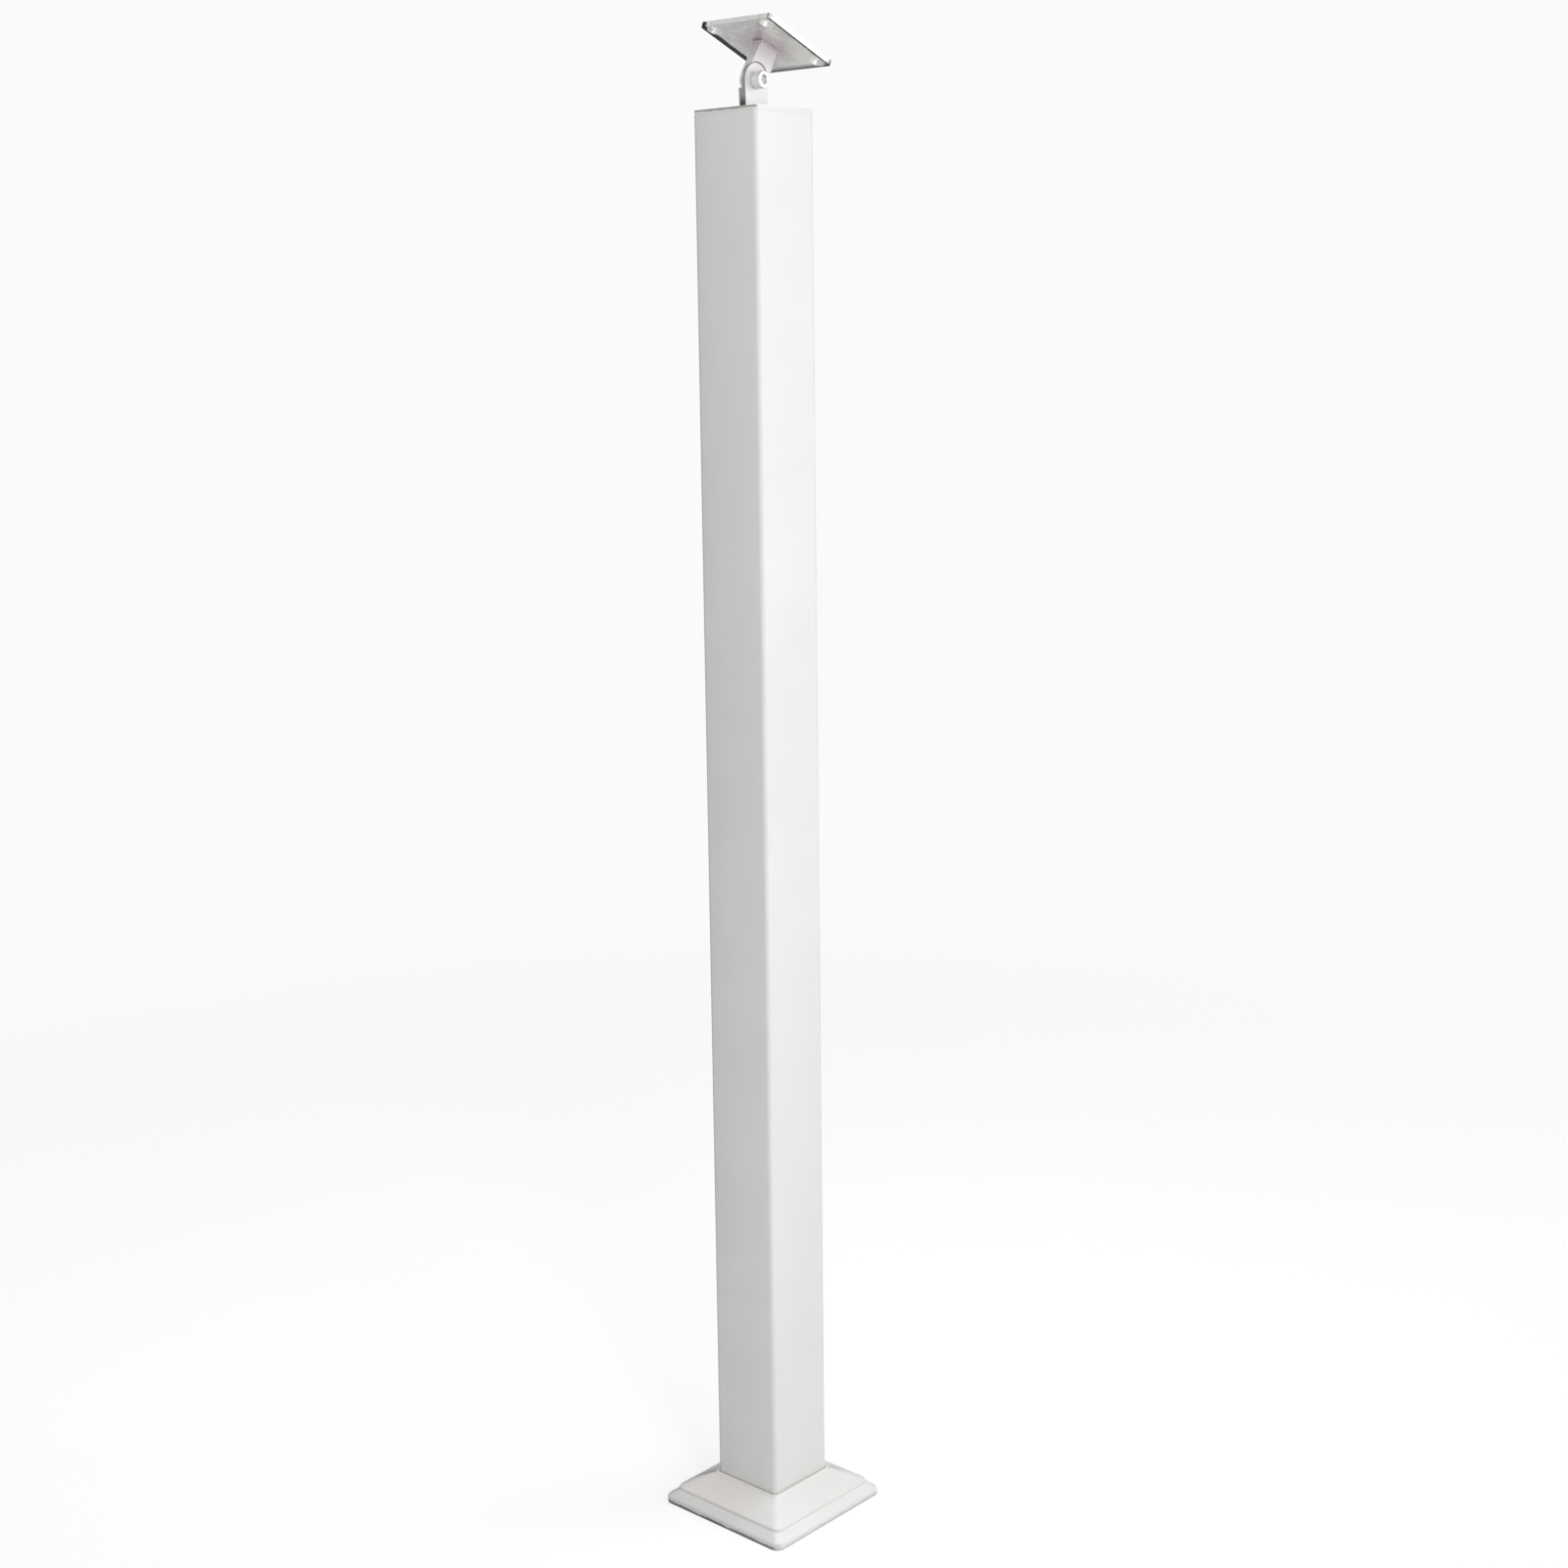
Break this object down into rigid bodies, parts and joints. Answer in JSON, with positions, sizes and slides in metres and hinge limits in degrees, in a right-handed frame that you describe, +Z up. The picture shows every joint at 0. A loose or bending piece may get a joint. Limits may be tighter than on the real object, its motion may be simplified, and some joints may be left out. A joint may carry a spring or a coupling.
{
  "type": "newel post",
  "caption": "Square white steel newel post with a pressed foot cover, a flat cap and a tilting steel saddle plate for the handrail.",
  "frame": {"origin": "on the floor, under the middle of the post", "axes": "+Z up along the post; +X along the pivot screw, towards its head; +Y towards the low end of the saddle plate"},
  "size_m": [0.1, 0.1, 0.9252],
  "materials": {
    "white_coat": "smooth powder coat, semi-gloss",
    "satin_steel": "satin, lightly mottled",
    "screw_steel": "bright, turned"
  },
  "bodies": {
    "post": {"post_tube": "white_coat", "foot_cover": "white_coat", "top_cap": "white_coat", "fixed_lug": "satin_steel"},
    "saddle": {"saddle_lug": "satin_steel", "saddle_plate": "satin_steel", "pivot_screw": "screw_steel"}
  },
  "joints": [
    {"name": "saddle_tilt", "type": "hinge", "parent": "post", "child": "saddle", "pos_m": [0, 0, 0.8914], "axis": [1, 0, 0], "range_deg": [-27.5, 72.5]}
  ]
}
